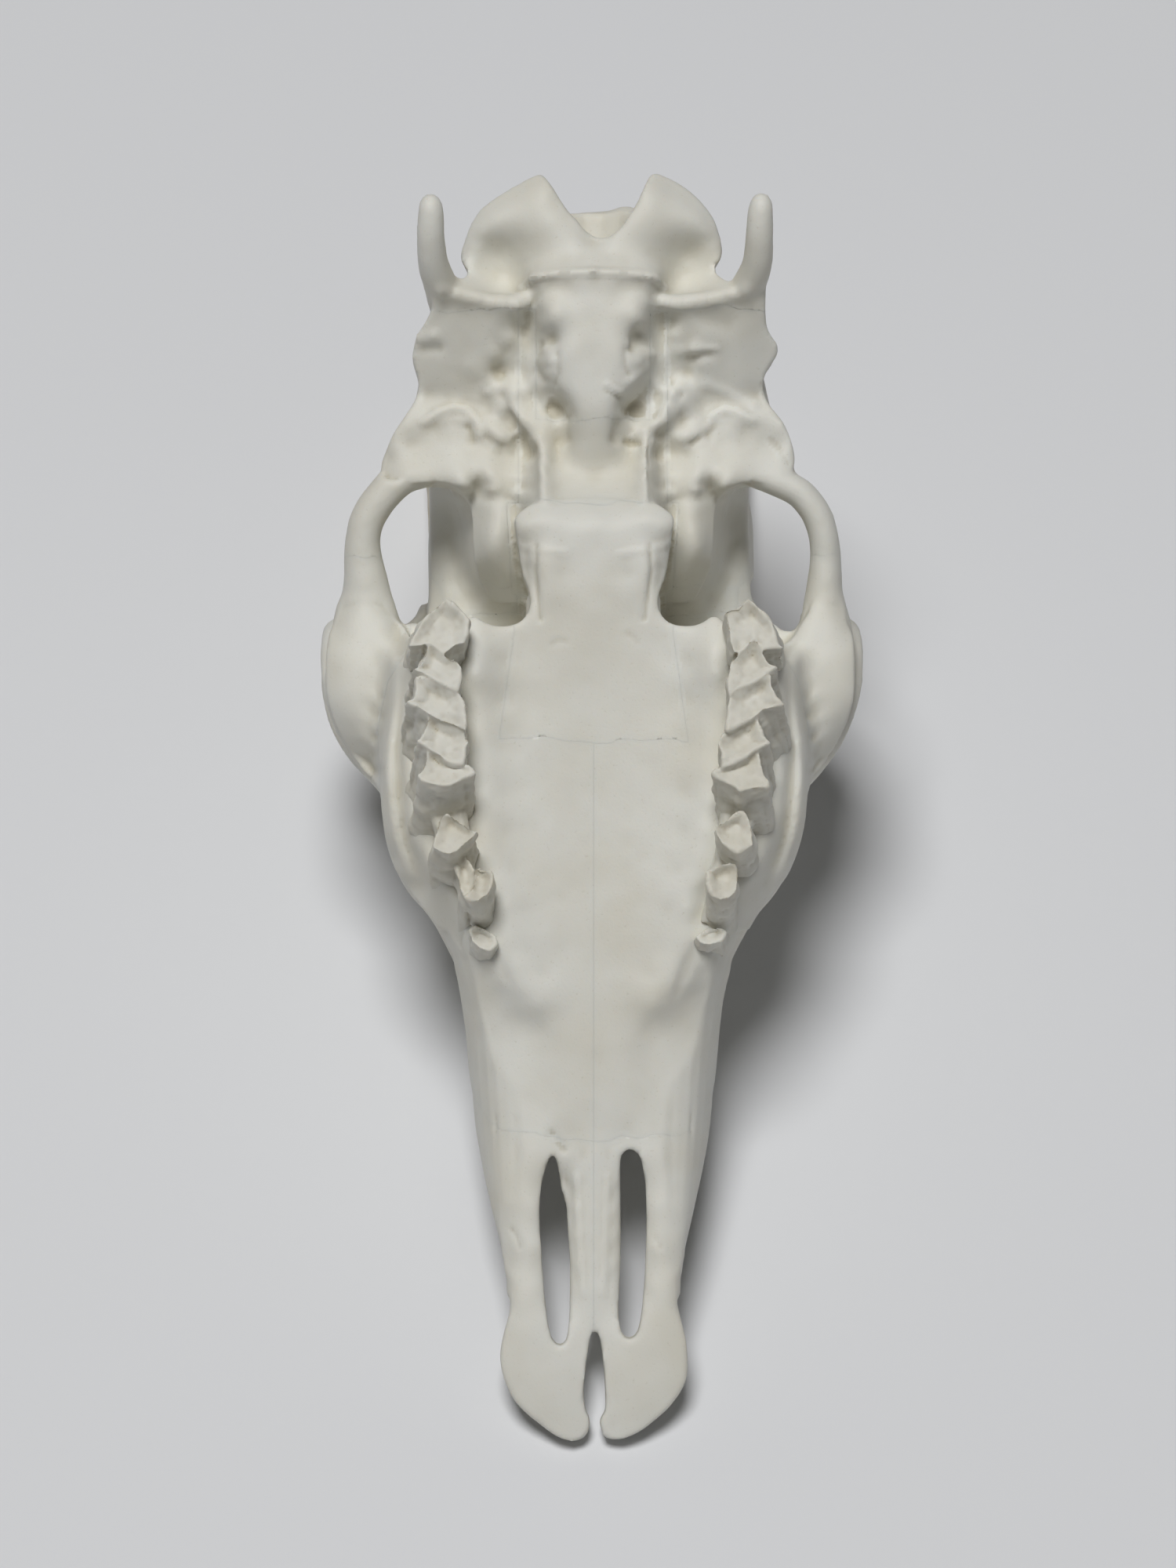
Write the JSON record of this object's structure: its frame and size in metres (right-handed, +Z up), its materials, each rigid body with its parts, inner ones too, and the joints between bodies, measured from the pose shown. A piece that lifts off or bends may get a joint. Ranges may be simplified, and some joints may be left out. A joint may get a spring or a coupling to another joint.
{
  "type": "mountain goat skull",
  "caption": "Life-size skull of a mountain goat without its lower jaw, with horn cores and upper cheek teeth, lying palate up.",
  "frame": {"origin": "On the floor, under the middle of the skull's length and width, as it lies at rest.", "axes": "+Z is up; +Y runs from the tips of the premaxillae towards the back of the head and the horn cores; +X is the side to the right in the view of the palate."},
  "size_m": [0.1263, 0.304, 0.1723],
  "materials": {
    "bone": "cleaned bone, off-white, satin to matte",
    "horn_core_bone": "cleaned bone, off-white, matte, finely grooved along its length"
  },
  "bodies": {
    "root": {"premaxilla_left": "bone", "premaxilla_right": "bone", "nasal_left": "bone", "nasal_right": "bone", "maxilla_left": "bone", "maxilla_right": "bone", "palatine": "bone", "zygomatic_left": "bone", "zygomatic_right": "bone", "frontal": "bone", "horn_core_left": "horn_core_bone", "horn_core_right": "horn_core_bone", "parietal": "bone", "temporal_left": "bone", "temporal_right": "bone", "sphenoid": "bone", "occipital": "bone"}
  },
  "joints": []
}
